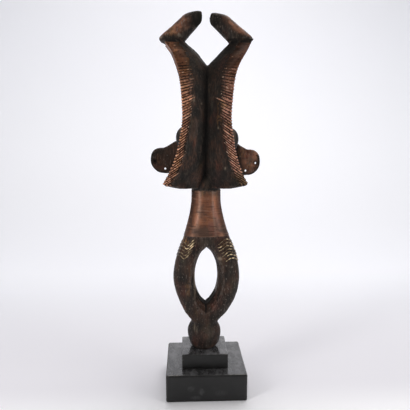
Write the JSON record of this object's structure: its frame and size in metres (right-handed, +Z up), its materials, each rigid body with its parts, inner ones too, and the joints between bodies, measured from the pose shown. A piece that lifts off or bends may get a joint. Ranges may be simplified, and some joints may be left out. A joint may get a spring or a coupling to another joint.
{
  "type": "janus reliquary figure",
  "caption": "Tall carved wood guardian with two hollowed leaf-shaped faces back to back, clad in copper strips, on bowed legs, a ball foot and a stepped black plinth.",
  "frame": {"origin": "middle of the plinth's underside, where the object stands", "axes": "+Z up; the two faces look along -X and +X; -Y is the front that the picture shows"},
  "size_m": [0.1692, 0.125, 0.5899],
  "materials": {
    "black_paint": "satin black paint, worn a little at the edges",
    "dark_wood": "dark brown carved wood with tool marks and a dry, slightly glossy patina",
    "copper_strip": "narrow hand-cut copper strips laid side by side, oxidised brown",
    "copper_sheet": "thin copper sheet, brown patina, rubbed bright in vertical bands",
    "dark_metal": "dark domed metal, semi gloss",
    "brass_wire": "flat brass wire, rubbed golden on top, dark between"
  },
  "bodies": {
    "root": {"lower_block": "black_paint", "upper_block": "black_paint", "figure": "dark_wood", "neck_sleeve": "copper_sheet", "left_face_strips": "copper_strip", "left_face_front_eye": "dark_metal", "left_face_back_eye": "dark_metal", "left_shoulder_wire_1": "brass_wire", "left_shoulder_wire_2": "brass_wire", "left_shoulder_wire_3": "brass_wire", "left_shoulder_wire_4": "brass_wire", "left_shoulder_wire_5": "brass_wire", "right_face_strips": "copper_strip", "right_face_front_eye": "dark_metal", "right_face_back_eye": "dark_metal", "right_shoulder_wire_1": "brass_wire", "right_shoulder_wire_2": "brass_wire", "right_shoulder_wire_3": "brass_wire", "right_shoulder_wire_4": "brass_wire", "right_shoulder_wire_5": "brass_wire", "right_shoulder_wire_6": "brass_wire", "right_shoulder_wire_7": "brass_wire"}
  },
  "joints": []
}
